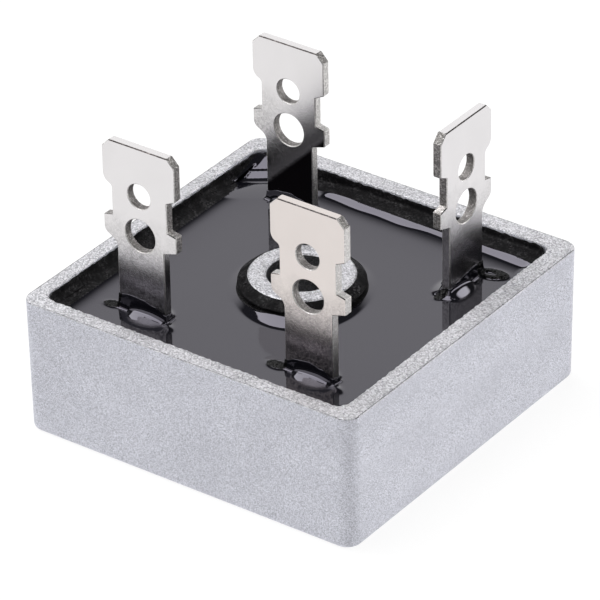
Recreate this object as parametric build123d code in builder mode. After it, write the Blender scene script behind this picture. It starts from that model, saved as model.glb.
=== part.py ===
from build123d import *
import os
from math import atan, degrees

# Square metal-case bridge rectifier. A cast cup with a hollow mounting post holds four diode dice
# between the feet of four push-on tab terminals, all set in resin that climbs whatever it meets.
# Millimetres. The base lies on z = 0 with the mounting hole on the z axis.

# Case
case_width = 28.6
case_height = 10.7
case_draft = 0.1
case_corner_radius = 1.2
base_edge_radius = 0.4
rim_edge_chamfer = 0.12
floor_thickness = 2.2
wall_thickness = 1.4
cavity_shift_x = -0.2
cavity_shift_y = -0.08
cavity_draft = 0.1
cavity_corner_radius = 0.9
post_diameter = 7.85
mount_hole_diameter = 5.1

# Terminal strips: sheet, then the tab outline from the top edge downwards
sheet = 0.7
terminal_height = 22.9
tab_width = 6.3
tab_corner_chamfer = 0.65
tab_head_length = 3.3
tab_edge_chamfer = 0.12
neck_notch = 0.75
neck_length = 2.7
lug_overhang = 1.125
lug_length = 1.3
shoulder_drop = 0.35
rolled_lug_drop = 0.65
leg_width = 4.1
dimple_hole_diameter = 1.95
dimple_hole_depth = 3.83
wire_hole_diameter = 2.6
wire_hole_depth = 7.0
head_roll_radius = 0.8
neck_roll_radius = 0.35
lug_roll_radius = 0.6
leg_roll_radius = 0.8
bend_radius = 0.6

# Places of the tabs, inwards from the case's sides: each sheet's middle, and each tab along its sheet
tab_plane_inset = 5.25
negative_inset = 7.2
positive_inset = 7.4
ac_front_inset = 6.95
ac_back_inset = 6.95

# Circuit under the resin
pad_thickness = 0.5
pad_wall_clearance = 2.6
pad_post_clearance = 0.4
foot_post_clearance = 0.75
die_margin = 0.2
die_thickness = 0.3
solder_thickness = 0.1
solder_margin = 0.15
foot_margin = 0.3

# Resin
resin_drop = 1.25
meniscus_radius = 1.05
collar_climb = 0.7
resin_film = 0.12
collar_slope = 45

# Derived heights, from the floor upwards
lower_foot_level = floor_thickness + pad_thickness
lower_solder_level = lower_foot_level + sheet
die_level = lower_solder_level + solder_thickness
upper_solder_level = die_level + die_thickness
upper_foot_level = upper_solder_level + solder_thickness
resin_level = case_height - resin_drop
resin_top = resin_level + meniscus_radius

# Derived plan sizes
neck_width = tab_width - 2 * neck_notch
lug_width = leg_width + 2 * lug_overhang
tab_plane = case_width / 2 - tab_plane_inset
negative_offset = case_width / 2 - negative_inset
positive_offset = case_width / 2 - positive_inset
ac_front_offset = case_width / 2 - ac_front_inset
ac_back_offset = case_width / 2 - ac_back_inset
leg_places = [(0, -negative_offset), (90, positive_offset), (0, ac_front_offset), (180, ac_back_offset)]
foot_outer = tab_plane - sheet / 2 - bend_radius
foot_inner = post_diameter / 2 + foot_post_clearance
foot_width = foot_outer - foot_inner
die_width = foot_width - 2 * die_margin
die_distance = (foot_outer + foot_inner) / 2
foot_reach = die_width / 2 + foot_margin
cavity_width = case_width - 2 * wall_thickness - 2 * cavity_draft
cavity_taper = -degrees(atan(cavity_draft / (case_height - floor_thickness)))
case_taper = -degrees(atan(case_draft / case_height))

os.makedirs("parts", exist_ok=True)


def extrude_cavity(top, mode):
    """Extrude the drafted hollow of the case from its floor up to a height."""
    with BuildSketch(Plane.XY.offset(floor_thickness)) as hollow:
        with Locations((cavity_shift_x, cavity_shift_y)):
            RectangleRounded(cavity_width, cavity_width, cavity_corner_radius)
    extrude(hollow.sketch, amount=top - floor_thickness, taper=cavity_taper, mode=mode)


def side_plane(angle):
    """Give the plan plane turned so that its -Y side is the side where a terminal stands."""
    return Plane.XY.rotated((0, 0, angle))


def tab_side(hand, lug_drop):
    """Give the outline of one side of a tab, from its top corner down to the foot of the lug."""
    head_bottom = terminal_height - tab_head_length
    lug_top = head_bottom - neck_length - shoulder_drop / 2
    lug_bottom = lug_top - lug_length
    return [
        (hand * (tab_width / 2 - tab_corner_chamfer), terminal_height),
        (hand * tab_width / 2, terminal_height - tab_corner_chamfer),
        (hand * tab_width / 2, head_bottom),
        (hand * neck_width / 2, head_bottom - shoulder_drop),
        (hand * neck_width / 2, lug_top + shoulder_drop / 2),
        (hand * lug_width / 2, lug_top),
        (hand * lug_width / 2, lug_bottom),
        (hand * leg_width / 2, lug_bottom - lug_drop),
    ]


def build_terminal(name, angle, offset, foot_level, rolled_hand):
    """Make one folded strip: tab, leg, bend and the two-armed foot that carries or covers dice."""
    base = side_plane(angle)
    corner = 1 if offset > 0 else -1
    near = -(tab_plane + sheet / 2)
    far = near + sheet
    leg_edge = offset + corner * leg_width / 2
    outer_face = Plane(base.from_local_coords((offset, near, 0)), x_dir=base.x_dir, z_dir=-base.y_dir)
    sheared = tab_side(-rolled_hand, shoulder_drop)
    rolled = tab_side(rolled_hand, rolled_lug_drop)
    roll_radii = {2: head_roll_radius, 3: neck_roll_radius, 6: lug_roll_radius, 7: leg_roll_radius}
    with BuildPart() as terminal:
        with BuildSketch(outer_face) as strip:
            with BuildLine():
                sheared_foot = (-rolled_hand * leg_width / 2, foot_level)
                rolled_foot = (rolled_hand * leg_width / 2, foot_level)
                Polyline(*sheared, sheared_foot, rolled_foot, *reversed(rolled), close=True)
            make_face()
            for index, radius in roll_radii.items():
                spot = Vector(*rolled[index])
                fillet(strip.vertices().sort_by_distance(spot)[0], radius=radius)
            with Locations((0, terminal_height - dimple_hole_depth)):
                Circle(dimple_hole_diameter / 2, mode=Mode.SUBTRACT)
            with Locations((0, terminal_height - wire_hole_depth)):
                Circle(wire_hole_diameter / 2, mode=Mode.SUBTRACT)
        extrude(amount=-sheet)
        with BuildSketch(base.offset(foot_level)):
            with Locations((offset, (near - foot_inner) / 2)):
                Rectangle(leg_width, -near - foot_inner)
            with Locations(((leg_edge - corner * foot_reach) / 2, -die_distance)):
                Rectangle(abs(leg_edge) + foot_reach, foot_width)
            with Locations((corner * die_distance, (foot_reach - foot_outer) / 2)):
                Rectangle(foot_width, foot_outer + foot_reach)
        extrude(amount=sheet)
        bend_line = base.from_local_coords((offset, near, foot_level))
        fillet(terminal.edges().sort_by_distance(bend_line)[0], radius=bend_radius + sheet)
        inner_line = base.from_local_coords((offset, far, foot_level + sheet))
        fillet(terminal.edges().sort_by_distance(inner_line)[0], radius=bend_radius)
        for face in (near, far):
            tip_line = base.from_local_coords((offset, face, terminal_height))
            chamfer(terminal.edges().sort_by_distance(tip_line)[0], length=tab_edge_chamfer)
    terminal.part.label = name
    export_step(terminal.part, f"parts/{name}.step")
    return terminal.part


# Case: drafted block, hollow, post and through hole
with BuildPart() as case:
    with BuildSketch():
        base_width = case_width - 2 * case_draft
        RectangleRounded(base_width, base_width, case_corner_radius)
    extrude(amount=case_height, taper=case_taper)
    fillet(case.faces().sort_by(Axis.Z)[0].outer_wire().edges(), radius=base_edge_radius)
    chamfer(case.faces().sort_by(Axis.Z)[-1].outer_wire().edges(), length=rim_edge_chamfer)
    extrude_cavity(case_height, Mode.SUBTRACT)
    with BuildSketch(Plane.XY.offset(floor_thickness)):
        Circle(post_diameter / 2)
    extrude(amount=case_height - floor_thickness)
    with Locations((0, 0, case_height)):
        Hole(mount_hole_diameter / 2)
case.part.label = "case"
export_step(case.part, "parts/case.step")

# Insulating pad on the case floor, round the post
with BuildPart() as pad:
    with BuildSketch(Plane.XY.offset(floor_thickness)):
        with Locations((cavity_shift_x, cavity_shift_y)):
            pad_width = cavity_width - 2 * pad_wall_clearance
            Rectangle(pad_width, pad_width)
        Circle(post_diameter / 2 + pad_post_clearance, mode=Mode.SUBTRACT)
    extrude(amount=pad_thickness)
pad.part.label = "insulating_pad"
export_step(pad.part, "parts/insulating_pad.step")

# Terminals: the two direct-current feet lie under the dice, the two alternating ones over them
circuit = [
    pad.part,
    build_terminal("negative_terminal", 0, -negative_offset, lower_foot_level, -1),
    build_terminal("positive_terminal", 90, positive_offset, lower_foot_level, 1),
    build_terminal("ac_terminal_front", 0, ac_front_offset, upper_foot_level, -1),
    build_terminal("ac_terminal_back", 180, ac_back_offset, upper_foot_level, 1),
]

# Dice with a solder joint under and over each, one stack on each side of the post
sides = {"front": 0, "right": 90, "back": 180, "left": 270}
for side, angle in sides.items():
    stack = {
        f"lower_solder_{side}": (lower_solder_level, solder_thickness, die_width + 2 * solder_margin),
        f"diode_die_{side}": (die_level, die_thickness, die_width),
        f"upper_solder_{side}": (upper_solder_level, solder_thickness, die_width - 2 * solder_margin),
    }
    for name, (level, thickness, width) in stack.items():
        with BuildPart() as layer:
            with BuildSketch(side_plane(angle).offset(level)):
                with Locations((0, -die_distance)):
                    Rectangle(width, width)
            extrude(amount=thickness)
        layer.part.label = name
        export_step(layer.part, f"parts/{name}.step")
        circuit.append(layer.part)

# Dish: the space over the resin, rounded where the resin climbs the walls and the post, and
# drawn in round each leg where it climbs the terminals
with BuildPart() as dish:
    with BuildSketch(Plane.XY.offset(resin_level)):
        with Locations((cavity_shift_x, cavity_shift_y)):
            dish_width = cavity_width - 2 * resin_film
            RectangleRounded(dish_width, dish_width, meniscus_radius + cavity_corner_radius)
        Circle(post_diameter / 2 + resin_film, mode=Mode.SUBTRACT)
    extrude(amount=case_height - resin_level)
    fillet(dish.edges().group_by(Axis.Z)[0], radius=meniscus_radius)
    for angle, offset in leg_places:
        with BuildSketch(side_plane(angle).offset(resin_level)):
            with Locations((offset, -tab_plane)):
                collar_reach = 2 * (collar_climb + resin_film)
                Rectangle(leg_width + collar_reach, sheet + collar_reach)
        extrude(amount=collar_climb, taper=collar_slope, mode=Mode.SUBTRACT)

# Resin: fills the hollow round the post and the circuit
with BuildPart() as potting:
    extrude_cavity(resin_top, Mode.ADD)
    with BuildSketch(Plane.XY.offset(floor_thickness)):
        Circle(post_diameter / 2)
    extrude(amount=case_height - floor_thickness, mode=Mode.SUBTRACT)
    add(dish.part, mode=Mode.SUBTRACT)
    add(circuit, mode=Mode.SUBTRACT)
potting.part.label = "potting_compound"
export_step(potting.part, "parts/potting_compound.step")
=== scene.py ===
"""Looks of a square bridge rectifier: cast case, black resin, four push-on tabs and a hidden circuit.

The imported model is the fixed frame. The case, the resin and the tabs get finer skins that stand for
their solids, the sealed circuit keeps its solids, and every surface gets a procedural finish.
Sizes are millimetres until a mesh is placed, and metres from there on.
"""

import logging
import math
from collections.abc import Callable, Iterator, Sequence
from contextlib import contextmanager
from dataclasses import dataclass, field
from enum import Enum, IntEnum

import bmesh
import bpy
import numpy as np
from mathutils import Matrix, Vector, noise
from mathutils.geometry import delaunay_2d_cdt

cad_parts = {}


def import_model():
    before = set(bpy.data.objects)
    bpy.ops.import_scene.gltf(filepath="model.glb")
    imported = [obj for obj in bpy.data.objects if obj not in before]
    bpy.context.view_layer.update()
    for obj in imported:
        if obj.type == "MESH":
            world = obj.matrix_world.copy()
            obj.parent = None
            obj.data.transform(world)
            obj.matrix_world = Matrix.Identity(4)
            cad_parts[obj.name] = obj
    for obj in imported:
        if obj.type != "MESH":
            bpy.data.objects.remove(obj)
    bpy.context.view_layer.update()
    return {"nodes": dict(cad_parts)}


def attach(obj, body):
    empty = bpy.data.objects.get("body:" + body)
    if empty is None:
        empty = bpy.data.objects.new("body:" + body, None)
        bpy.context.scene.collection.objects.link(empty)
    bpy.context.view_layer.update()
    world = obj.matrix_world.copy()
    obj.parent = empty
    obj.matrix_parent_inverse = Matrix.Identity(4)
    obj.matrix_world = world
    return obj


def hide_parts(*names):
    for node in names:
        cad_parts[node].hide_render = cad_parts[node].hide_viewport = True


MM = 0.001
MERGE = 1e-7
SAME = 1e-6
QUARTER = math.radians(90)
LOG = logging.getLogger("rectifier")
Pair = tuple[float, float]
Triple = tuple[float, float, float]
Ring = list[Vector]
Socket = bpy.types.NodeSocket
Inputs = dict[str | int, object]


class RayKind(Enum):
    """Kinds of ray that the studio answers in their own way."""

    CAMERA = "Is Camera Ray"
    GLOSSY = "Is Glossy Ray"
    TRANSMISSION = "Is Transmission Ray"


class TabPlace(Enum):
    """The four terminals, by the node that each one stands for."""

    NEGATIVE = "negative_terminal"
    POSITIVE = "positive_terminal"
    AC_FRONT = "ac_terminal_front"
    AC_BACK = "ac_terminal_back"


class CaseSlot(IntEnum):
    """Material slots of the case."""

    WALL = 0
    RIM = 1
    # Painted shade: a dark line along the rim's outer edge
    EDGE_LINE = 2
    # Painted shade: the dark wall of the post's bore
    BORE = 3


class ResinSlot(IntEnum):
    """Material slots of the resin."""

    POOL = 0
    FILM = 1
    LUMPS = 2


class TabSlot(IntEnum):
    """Material slots of a terminal."""

    PLATING = 0
    CUT = 1
    # Painted shade: the dark line on the chamfers at the tip
    BURR = 2
    # Partly a painted highlight: a rougher edge finish with a lighter colour
    BRIGHT_EDGE = 3
    # Painted shade: the chamfered corners near the tip
    CORNER = 4
    HOLE_WALL = 5


class Board:
    """A shader node tree that nodes are placed on and wired up."""

    def __init__(self, tree: bpy.types.NodeTree) -> None:
        """Keep the tree to work on."""
        self.tree = tree

    def feed(self, node: bpy.types.Node, inputs: Inputs) -> None:
        """Set inputs of a node.

        Args:
            node: The node.
            inputs: Values or sockets for its inputs, by name or index.
        """
        for key, value in inputs.items():
            if isinstance(value, Socket):
                self.tree.links.new(value, node.inputs[key])
            else:
                node.inputs[key].default_value = value

    def node(self, kind: str, inputs: Inputs | None = None, **settings: object) -> bpy.types.Node:
        """Place one node.

        Args:
            kind: Node type, without its ShaderNode prefix.
            inputs: Values or sockets for its inputs, by name or index.
            settings: Attributes of the node itself.

        Returns:
            The new node.
        """
        made = self.tree.nodes.new(f"ShaderNode{kind}")
        for name, value in settings.items():
            setattr(made, name, value)
        self.feed(made, inputs or {})
        return made

    def where(self) -> Socket:
        """Give the place on the piece, in Object coordinates."""
        return self.node("TexCoord").outputs["Object"]

    def axes(self) -> bpy.types.NodeOutputs:
        """Give the place on the piece, split into X, Y and Z."""
        return self.node("SeparateXYZ", {"Vector": self.where()}).outputs

    def math(self, operation: str, *values: object, clamp: bool = False) -> Socket:
        """Combine numbers with a math node and give its result."""
        made = self.node("Math", dict(enumerate(values)), operation=operation, use_clamp=clamp)
        return made.outputs[0]

    def span(
        self, value: Socket, low: Socket | float, high: Socket | float,
        to_low: float = 0.0, to_high: float = 1.0, soft: bool = True,
    ) -> Socket:
        """Map a number from one range to another, and hold it at the ends.

        Args:
            value: Socket to read.
            low: Start of the range read.
            high: End of the range read.
            to_low: Result at its start.
            to_high: Result at its end.
            soft: Whether the ends are eased.

        Returns:
            The mapped value.
        """
        inputs = {"Value": value, "From Min": low, "From Max": high, "To Min": to_low, "To Max": to_high}
        return self.node("MapRange", inputs, interpolation_type="SMOOTHSTEP" if soft else "LINEAR").outputs[0]

    def blend(self, factor: Socket, first: Socket | Triple, second: Socket | Triple) -> Socket:
        """Mix two colours; the mix node's colour sockets share their names, so they go by number."""
        first, second = ((*c, 1) if isinstance(c, tuple) else c for c in (first, second))
        return self.node("Mix", {0: factor, 6: first, 7: second}, data_type="RGBA").outputs[2]

    def bump(self, height: Socket, strength: float, distance: float) -> Socket:
        """Turn a height into a bent normal."""
        inputs = {"Height": height, "Strength": strength, "Distance": distance}
        return self.node("Bump", inputs).outputs["Normal"]


class NodeGroups:
    """Effects that several finishes share, each built once."""

    GRAIN = "fine_grain"
    MOTTLE = "broad_mottle"
    CELL_SHARE = -0.6
    SPECK_GAIN = 4.0

    @staticmethod
    def _open(
        name: str, inputs: dict[str, float], outputs: Sequence[str],
    ) -> tuple[Board, bpy.types.NodeOutputs, bpy.types.Node]:
        """Start a node group with number sockets.

        Args:
            name: Name of the group.
            inputs: Input names with their defaults.
            outputs: Output names.

        Returns:
            A board on the group, the sockets of what it is given, and the node for what it puts out.
        """
        tree = bpy.data.node_groups.new(name, "ShaderNodeTree")
        for key, value in inputs.items():
            made = tree.interface.new_socket(name=key, in_out="INPUT", socket_type="NodeSocketFloat")
            made.default_value = value
        for key in outputs:
            tree.interface.new_socket(name=key, in_out="OUTPUT", socket_type="NodeSocketFloat")
        return Board(tree), tree.nodes.new("NodeGroupInput").outputs, tree.nodes.new("NodeGroupOutput")

    @classmethod
    def grain(cls) -> bpy.types.NodeTree:
        """Make the grain of a set size: its height, the tone of each grain, and a mask of bright specks.

        Returns:
            The group's tree.
        """
        if cls.GRAIN in bpy.data.node_groups:
            return bpy.data.node_groups[cls.GRAIN]
        inputs, outputs = {"Scale": 5000.0, "Speck": 0.5}, ("Height", "Tone", "Specks")
        board, given, put = cls._open(cls.GRAIN, inputs, outputs)
        sized = {"Vector": board.where(), "Scale": given["Scale"]}
        coarse = board.node("TexNoise", {**sized, "Detail": 2.0, "Roughness": 0.6}).outputs["Fac"]
        cells = board.node("TexVoronoi", sized, feature="F1").outputs
        height = board.math("MULTIPLY_ADD", cells["Distance"], cls.CELL_SHARE, coarse)
        tone = board.node("SeparateColor", {"Color": cells["Color"]}).outputs["Red"]
        over = board.math("SUBTRACT", tone, board.math("SUBTRACT", 1.0, given["Speck"]), clamp=True)
        specks = board.math("MULTIPLY", over, cls.SPECK_GAIN, clamp=True)
        board.feed(put, {"Height": height, "Tone": tone, "Specks": specks})
        return board.tree

    @classmethod
    def mottle(cls) -> bpy.types.NodeTree:
        """Make the slow cloudy variation over a surface.

        Returns:
            The group's tree.
        """
        if cls.MOTTLE in bpy.data.node_groups:
            return bpy.data.node_groups[cls.MOTTLE]
        board, given, put = cls._open(cls.MOTTLE, {"Scale": 300.0, "Low": 0.35, "High": 0.65}, ("Cloud",))
        look = {"Vector": board.where(), "Scale": given["Scale"], "Detail": 3.0, "Roughness": 0.55}
        cloud = board.node("TexNoise", look).outputs["Fac"]
        board.feed(put, {"Cloud": board.span(cloud, given["Low"], given["High"], soft=False)})
        return board.tree


@dataclass(frozen=True)
class Finish:
    """Base of a finish: a name, and a Principled shader that its own method dresses."""

    name: str

    def material(self) -> bpy.types.Material:
        """Give the finish's material, made the first time it is asked for.

        Returns:
            The material.
        """
        made = bpy.data.materials.get(self.name)
        if made is None:
            made = bpy.data.materials.new(self.name)
            made.use_nodes = True
            self.dress(Board(made.node_tree), made.node_tree.nodes["Principled BSDF"])
        return made

    def dress(self, board: Board, shader: bpy.types.Node) -> None:
        """Set up the shader; each finish has its own way."""
        raise NotImplementedError

    @staticmethod
    def place_grain(board: Board, scale: float, speck: float = 0.5) -> bpy.types.NodeOutputs:
        """Place the shared grain with its own values and give what it puts out."""
        return board.node("Group", {"Scale": scale, "Speck": speck}, node_tree=NodeGroups.grain()).outputs

    @staticmethod
    def place_cloud(board: Board, scale: float, low: float = 0.35, high: float = 0.65) -> Socket:
        """Place the shared mottle with its own values and give its cloud."""
        inputs = {"Scale": scale, "Low": low, "High": high}
        return board.node("Group", inputs, node_tree=NodeGroups.mottle()).outputs["Cloud"]


@dataclass(frozen=True)
class BlastedAluminium(Finish):
    """Cast aluminium after bead blasting: even, light grey, with a fine sparkle."""

    grain: float = 21000.0
    relief: float = 0.00006
    dark: Triple = (0.26, 0.265, 0.305)
    light: Triple = (0.91, 0.916, 0.985)
    roughness: float = 0.58
    speck: float = 0.12
    speck_colour: Triple = (0.95, 0.95, 0.97)
    speck_share: float = 0.4
    tone_share: float = 0.7
    height_read: Pair = (0.0, 0.5)
    height_tone: Pair = (0.12, 0.64)
    cloud_scale: float = 260.0
    cloud_share: float = 0.1
    bump: float = 0.8

    def dress(self, board: Board, shader: bpy.types.Node) -> None:
        """Wire the blasted grain into colour and bump.

        Args:
            board: Board on the material's nodes.
            shader: Its shader.
        """
        grain = self.place_grain(board, self.grain, self.speck)
        cloud = self.place_cloud(board, self.cloud_scale)
        lit = board.span(grain["Height"], *self.height_read, *self.height_tone)
        tone = board.math("MULTIPLY_ADD", grain["Tone"], self.tone_share, lit)
        base = board.blend(tone, self.dark, self.light)
        shade = board.blend(board.math("MULTIPLY", cloud, self.cloud_share), base, self.dark)
        specks = board.math("MULTIPLY", grain["Specks"], self.speck_share)
        board.feed(shader, {
            "Base Color": board.blend(specks, shade, self.speck_colour),
            "Normal": board.bump(grain["Height"], self.bump, self.relief),
            "Metallic": 1.0,
            "Roughness": self.roughness,
        })


@dataclass(frozen=True)
class GlossyResin(Finish):
    """Black casting resin, self-levelled and mirror smooth, and a little rougher where it climbed."""

    colour: Triple = (0.006, 0.006, 0.0085)
    film_from: float = 10.15
    film_to: float = 10.6
    film_rough: float = 0.15
    rough: Pair = (0.03, 0.05)
    grain: float = 4200.0
    cloud_scale: float = 180.0
    cloud_read: Pair = (0.2, 0.8)
    swell: float = 0.25
    bump: float = 0.5
    relief: float = 0.00003
    ior: float = 1.71
    tint: Triple = (0.885, 0.845, 1.0)

    def dress(self, board: Board, shader: bpy.types.Node) -> None:
        """Wire a faint swell, and the roughness of the climbing film, into the gloss.

        Args:
            board: Board on the material's nodes.
            shader: Its shader.
        """
        grain = self.place_grain(board, self.grain)
        cloud = self.place_cloud(board, self.cloud_scale, *self.cloud_read)
        film = board.span(board.axes()["Z"], self.film_from * MM, self.film_to * MM)
        gloss = board.span(cloud, 0.0, 1.0, *self.rough)
        swell = board.math("MULTIPLY_ADD", cloud, self.swell, board.math("MULTIPLY", film, grain["Height"]))
        board.feed(shader, {
            "Base Color": (*self.colour, 1),
            "Roughness": board.math("MULTIPLY_ADD", film, self.film_rough, gloss),
            "Normal": board.bump(swell, self.bump, self.relief),
            "IOR": self.ior,
            "Specular Tint": (*self.tint, 1),
        })


@dataclass(frozen=True)
class ResinFilm(Finish):
    """Resin dried to a thin, dull, speckled film where it climbed the metal; on the far walls the same dull
    film is painted shade.
    """

    colour: Triple = (0.006, 0.0057, 0.0064)
    fleck: Triple = (0.06, 0.058, 0.061)
    grain: float = 8000.0
    relief: float = 0.00004
    rough: Pair = (0.55, 0.2)
    gloss: float = 0.06
    fleck_power: float = 3.0
    cloud_scale: float = 900.0
    cloud_read: Pair = (0.35, 0.7)
    bump: float = 0.7

    def dress(self, board: Board, shader: bpy.types.Node) -> None:
        """Wire flecks and a broken gloss into the film.

        Args:
            board: Board on the material's nodes.
            shader: Its shader.
        """
        grain = self.place_grain(board, self.grain)
        cloud = self.place_cloud(board, self.cloud_scale, *self.cloud_read)
        flecks = board.math("MULTIPLY", board.math("POWER", grain["Tone"], self.fleck_power), cloud)
        board.feed(shader, {
            "Base Color": board.blend(flecks, self.colour, self.fleck),
            "Roughness": board.span(cloud, 0.0, 1.0, *self.rough),
            "Normal": board.bump(grain["Height"], self.bump, self.relief),
            "Specular IOR Level": self.gloss,
        })


@dataclass(frozen=True)
class SatinNickel(Finish):
    """Nickel-plated sheet: a smooth satin face, smeared with a speckled film of resin near the pool."""

    colour: Triple = (0.75, 0.732, 0.736)
    roughness: float = 0.21
    stain: Triple = (0.1, 0.094, 0.1)
    smear_from: float = 16.6
    smear_to: float = 9.0
    smear_depth: float = 0.8
    smear_ragged: float = 1.2
    smear_rough: float = 0.08
    speckle: float = 0.5
    worn: float = 0.95
    worn_share: float = 0.6
    grain: float = 9500.0
    cloud_scale: float = 420.0
    grain_relief: Pair = (0.8, 0.2)
    bump: float = 0.35
    relief: float = 0.00001

    def dress(self, board: Board, shader: bpy.types.Node) -> None:
        """Wire a slow cloud, the smear and its speckle into the plating.

        Args:
            board: Board on the material's nodes.
            shader: Its shader.
        """
        grain = self.place_grain(board, self.grain)
        cloud = self.place_cloud(board, self.cloud_scale)
        height = board.math("MULTIPLY_ADD", cloud, -self.smear_ragged * MM, board.axes()["Z"])
        ends = (self.smear_to * MM, self.smear_from * MM)
        smear = board.span(height, *ends, self.smear_depth, 0.0, soft=False)
        spread = board.math("MULTIPLY", smear, board.math("ADD", grain["Tone"], self.speckle), clamp=True)
        worn = tuple(self.worn * c for c in self.colour)
        clean = board.blend(board.math("MULTIPLY", cloud, self.worn_share), self.colour, worn)
        share = board.math("MULTIPLY_ADD", smear, *self.grain_relief)
        board.feed(shader, {
            "Base Color": board.blend(spread, clean, self.stain),
            "Roughness": board.math("MULTIPLY_ADD", smear, self.smear_rough, self.roughness),
            "Normal": board.bump(board.math("MULTIPLY", grain["Height"], share), self.bump, self.relief),
            "Metallic": 1.0,
        })


@dataclass(frozen=True)
class PaintedReflectionNickel(SatinNickel):
    """Smeared plating with a painted reflection: one light streak slanting across the leg, and painted shade
    under it.
    """

    slant: float = 0.997
    crossing: float = 20.78
    seen_to: float = 8.95
    seen_fade: float = 0.2
    # Painted shade under the streak's line, then the painted highlight of the streak itself
    black: Triple = (0.011, 0.009, 0.011)
    painted_dark_under: Pair = (-0.8, -0.1)
    glow: Triple = (0.3, 0.293, 0.293)
    glow_rise: Pair = (-0.6, 0.0)
    glow_fade: Pair = (0.15, 1.3)
    glow_share: float = 0.9

    def dress(self, board: Board, shader: bpy.types.Node) -> None:
        """Wire the painted reflection, a light streak with painted shade under it, over the smeared plating.

        Args:
            board: Board on the material's nodes.
            shader: Its shader.
        """
        super().dress(board, shader)
        plain = shader.inputs["Base Color"].links[0].from_socket
        where = board.axes()
        # A slanting line on the leg: painted shade below it, a painted highlight just above it
        line = board.math("MULTIPLY_ADD", where["X"], self.slant, self.crossing * MM)
        above = board.math("SUBTRACT", where["Z"], line)
        under = board.span(above, *(v * MM for v in self.painted_dark_under), 1.0, 0.0)
        rise = board.span(above, *(v * MM for v in self.glow_rise), 0.0, self.glow_share)
        fade = board.span(above, *(v * MM for v in self.glow_fade), 1.0, 0.0)
        deep = board.blend(under, plain, self.black)
        streak = board.blend(board.math("MULTIPLY", rise, fade), deep, self.glow)
        # The painted reflection is kept to the leg's front face
        seen = board.span(where["Y"], self.seen_to * MM, (self.seen_to + self.seen_fade) * MM, 1.0, 0.0)
        board.feed(shader, {"Base Color": board.blend(seen, plain, streak)})


@dataclass(frozen=True)
class ShearedNickel(Finish):
    """An edge or corner of the sheet: torn and speckled, and smeared near the pool."""

    dark: Triple = (0.56, 0.545, 0.535)
    light: Triple = (0.82, 0.8, 0.79)
    roughness: float = 0.4
    stain: Triple = (0.05, 0.048, 0.05)
    smear_from: float = 15.0
    smear_to: float = 9.4
    smear_depth: float = 0.75
    grain: float = 12000.0
    speck: float = 0.1
    speck_colour: Triple = (0.9, 0.88, 0.87)
    speck_share: float = 0.3
    bump: float = 0.8
    relief: float = 0.00003

    def dress(self, board: Board, shader: bpy.types.Node) -> None:
        """Wire the torn grain and the smear into the edge.

        Args:
            board: Board on the material's nodes.
            shader: Its shader.
        """
        grain = self.place_grain(board, self.grain, self.speck)
        tone = board.math("MULTIPLY", grain["Tone"], grain["Tone"])
        base = board.blend(tone, self.dark, self.light)
        specks = board.math("MULTIPLY", grain["Specks"], self.speck_share)
        torn = board.blend(specks, base, self.speck_colour)
        ends = (self.smear_to * MM, self.smear_from * MM)
        smear = board.span(board.axes()["Z"], *ends, self.smear_depth, 0.0)
        board.feed(shader, {
            "Base Color": board.blend(smear, torn, self.stain),
            "Normal": board.bump(grain["Height"], self.bump, self.relief),
            "Metallic": 1.0,
            "Roughness": self.roughness,
        })


@dataclass(frozen=True)
class SealedFinish(Finish):
    """A plain, lightly mottled finish for what is sealed in the resin."""

    colour: Triple
    metallic: float
    roughness: float
    dull: float = 0.8
    grain: float = 4000.0
    cloud_scale: float = 500.0
    bump: float = 0.3
    relief: float = 0.00001

    def dress(self, board: Board, shader: bpy.types.Node) -> None:
        """Wire grain and cloud into a colour of its own.

        Args:
            board: Board on the material's nodes.
            shader: Its shader.
        """
        grain = self.place_grain(board, self.grain)
        cloud = self.place_cloud(board, self.cloud_scale)
        dull = tuple(self.dull * c for c in self.colour)
        board.feed(shader, {
            "Base Color": board.blend(cloud, self.colour, dull),
            "Normal": board.bump(grain["Height"], self.bump, self.relief),
            "Metallic": self.metallic,
            "Roughness": self.roughness,
        })


ALUMINIUM = BlastedAluminium("blasted_aluminium")
RIM = BlastedAluminium("rubbed_aluminium", 9000.0, 0.00005, (0.2, 0.2, 0.22), (0.8, 0.795, 0.825), 0.5)
# Painted shade: the dark line along the outer edge of the rim's top
EDGE_LINE = BlastedAluminium("edge_line", 6000.0, 0.00004, (0.01, 0.01, 0.012), (0.42, 0.42, 0.44), 0.5)
# Painted shade: the wall of the post's bore coloured dark for the shade inside it
BORE = BlastedAluminium("bore_aluminium", 12000.0, 0.00003, (0.08, 0.08, 0.085), (0.26, 0.26, 0.27), 0.5)
RESIN = GlossyResin("glossy_resin")
FILM = ResinFilm("resin_film")
LUMPS = ResinFilm(
    "lumpy_resin", (0.003, 0.003, 0.0033), (0.008, 0.008, 0.009), 3400.0, 0.0002, (0.28, 0.12), 0.13)
NICKEL = SatinNickel("satin_nickel")
WARM_NICKEL = SatinNickel("warm_nickel", (0.715, 0.66, 0.634))
CLEAN_NICKEL = SatinNickel(
    "clean_nickel", (0.76, 0.742, 0.75), stain=(0.15, 0.145, 0.148), smear_from=17.4, smear_depth=0.62)
# Plating of the back leg: the smear, with a painted reflection over it
SMEAR_AND_REFLECTION_NICKEL = PaintedReflectionNickel(
    "smeared_nickel", stain=(0.06, 0.057, 0.06), smear_from=18.2, smear_depth=0.92)
PLATINGS = {TabPlace.AC_FRONT: WARM_NICKEL, TabPlace.POSITIVE: CLEAN_NICKEL, TabPlace.AC_BACK: SMEAR_AND_REFLECTION_NICKEL}
CUT_EDGE = ShearedNickel("sheared_nickel")
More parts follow.
